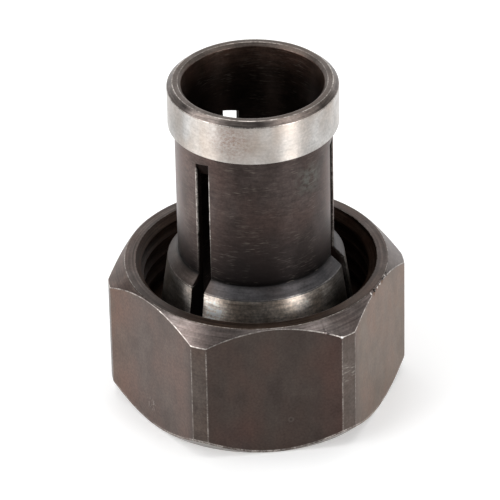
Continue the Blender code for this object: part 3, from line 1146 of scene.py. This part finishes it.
def flare_detail(tree, shade):
    """The flare is browner at its left, with painted shade towards its right and in the crease where it meets
    the sleeve.
    """
    x, _, z = xyz(tree)
    brown = tinted(tree, shade, (0.80, 0.66, 0.56))
    shade = mix(tree, remap(tree, x, -5.2, -4.2, 1.0, 0.0), shade, brown)
    # Painted shade towards the right and in the crease.
    shade = scaled(tree, shade, remap(tree, x, 1, 5, 0.93, 0.84))
    return scaled(tree, shade, remap(tree, z, SLEEVE_LOW_Z - 0.25, SLEEVE_LOW_Z - 0.05, 1.0, 0.3))


def taper_detail(tree, shade):
    """The taper has painted shade at the left and at the right, and painted highlights in a few places. No
    colour goes over 1."""
    x = xyz(tree)[0]
    # Painted shade at the left and at the right.
    left = remap(tree, x, -7.2, -5.4, 0.35, 1.0)
    right = remap(tree, x, 4.4, 6.4, 1.0, 0.24)
    shade = scaled(tree, shade, times(tree, left, right))
    for bearing, z, size, gain in TAPER_HIGHLIGHTS:
        bright = beside(tree, bearing, TAPER_SMALL_R + 0.1, z, size, 0.8)
        shade = mix(tree, bright, shade, tinted(tree, shade, (gain, gain * 1.01, gain * 1.03)))
    return add_node(tree, "VectorMath", {0: shade, 1: (1, 1, 1)}, operation="MINIMUM").outputs[0]


# Finishes of the pieces

def dull_mouth(material):
    """The mouth's inside reflects less towards its right, as painted shade set through the specular level."""
    tree = material.node_tree
    level = remap(tree, xyz(tree)[0], 2, 8, MOUTH_SPECULAR, 0.0)
    tree.links.new(level, tree.nodes["Principled BSDF"].inputs["Specular IOR Level"])


def finish_steels():
    """The finishes by the zones of the nut and of the collet, and the wire's."""
    nut = [
        finish_steel("nut_rim", (0.064, 0.049, 0.043), (0.103, 0.082, 0.074), (0.082, 0.058, 0.049), 0.40,
                     (6, 1.2), 0.62, 0.003, anisotropy=0.5, detail=rim_detail),
        finish_steel("nut_milled", (0.068, 0.055, 0.047), (0.088, 0.073, 0.062), (0.094, 0.068, 0.056), 0.40,
                     (1.6, 1.6, 0.5), 0.08, mottle=0.18, detail=milled_detail),
        finish_steel("nut_inside", (0.034, 0.020, 0.014), (0.062, 0.041, 0.031), (0.044, 0.024, 0.017), 0.45,
                     (8, 2), 0.6, metallic=0.0, specular=MOUTH_SPECULAR, detail=inside_detail),
        finish_steel("nut_chamfer", (0.120, 0.100, 0.092), (0.205, 0.174, 0.164), (0.14, 0.110, 0.101), 0.38,
                     (5, 2.5), 0.42, 0.004, anisotropy=0.5, detail=chamfer_detail),
        finish_steel("nut_strip", (0.068, 0.053, 0.046), (0.098, 0.079, 0.069), (0.088, 0.064, 0.053), 0.40,
                     (3, 2), 0.10, anisotropy=0.5, detail=strip_detail),
    ]
    collet = [
        finish_steel("collet_ground", (0.46, 0.44, 0.42), (0.62, 0.605, 0.59), (0.50, 0.44, 0.39), 0.42,
                     (5, 6), 0.12, 0.002, mottle=0.14, metallic=1.0, anisotropy=0.9, detail=ground_detail),
        finish_steel("collet_edge", (0.042, 0.035, 0.032), (0.10, 0.086, 0.079), (0.070, 0.057, 0.050), 0.38,
                     (6, 4), 0.5, 0.003, anisotropy=0.4, detail=edge_detail),
        finish_steel("collet_land", (0.085, 0.068, 0.060), (0.15, 0.126, 0.113), (0.11, 0.086, 0.073), 0.40,
                     (6, 4), 0.25, 0.003, anisotropy=0.4),
        finish_steel("collet_bore", (0.024, 0.014, 0.010), (0.052, 0.034, 0.027), (0.036, 0.020, 0.015), 0.42,
                     (5, 5), 0.4, 0.003, anisotropy=0.4, scratches=0.35, detail=bore_detail),
        finish_steel("collet_sleeve", (0.040, 0.029, 0.026), (0.066, 0.050, 0.046), (0.060, 0.040, 0.035),
                     0.36, (4, 7), 0.26, 0.003, anisotropy=0.7, scratches=0.28, detail=sleeve_detail),
        finish_steel("collet_flare", (0.057, 0.054, 0.057), (0.099, 0.095, 0.099), (0.077, 0.069, 0.069),
                     0.42, (5, 4), 0.3, 0.003, anisotropy=0.7, detail=flare_detail),
        finish_steel("collet_taper", (0.45, 0.385, 0.33), (0.80, 0.735, 0.675), (0.50, 0.405, 0.33), 0.40,
                     (5, 7), 0.40, 0.006, mottle=0.30, metallic=1.0, anisotropy=0.9, detail=taper_detail),
        # The hidden finish is near black and barely reflects: painted shade in the slots' walls and ends and
        # under the nut.
        finish_steel("collet_hidden", (0.007, 0.004, 0.003), (0.011, 0.007, 0.006), (0.009, 0.005, 0.004),
                     0.6, (5, 4), 0.2, metallic=0.0, specular=0.03),
    ]
    wire = finish_steel("spring_wire", (0.20, 0.19, 0.18), (0.28, 0.27, 0.26), (0.22, 0.20, 0.18), 0.35,
                        (3, 6), 0.1, metallic=1.0)
    dull_mouth(nut[INSIDE])
    return nut, collet, wire


def main():
    add_camera()
    add_floor()
    add_world()
    for lamp in LAMPS:
        add_soft_box(*lamp)
    nut_finish, collet_finish, wire_finish = finish_steels()
    for piece, node, slot in (
        (make_nut(nut_finish), "nut", "nut_steel"),
        (make_collet(collet_finish), "collet", "collet_steel"),
        (make_snap_ring(wire_finish), "snap_ring", "spring_wire"),
    ):
        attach(piece, node)
        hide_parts(node)

    scene = bpy.context.scene
    scene.view_settings.view_transform = "Standard"


main()
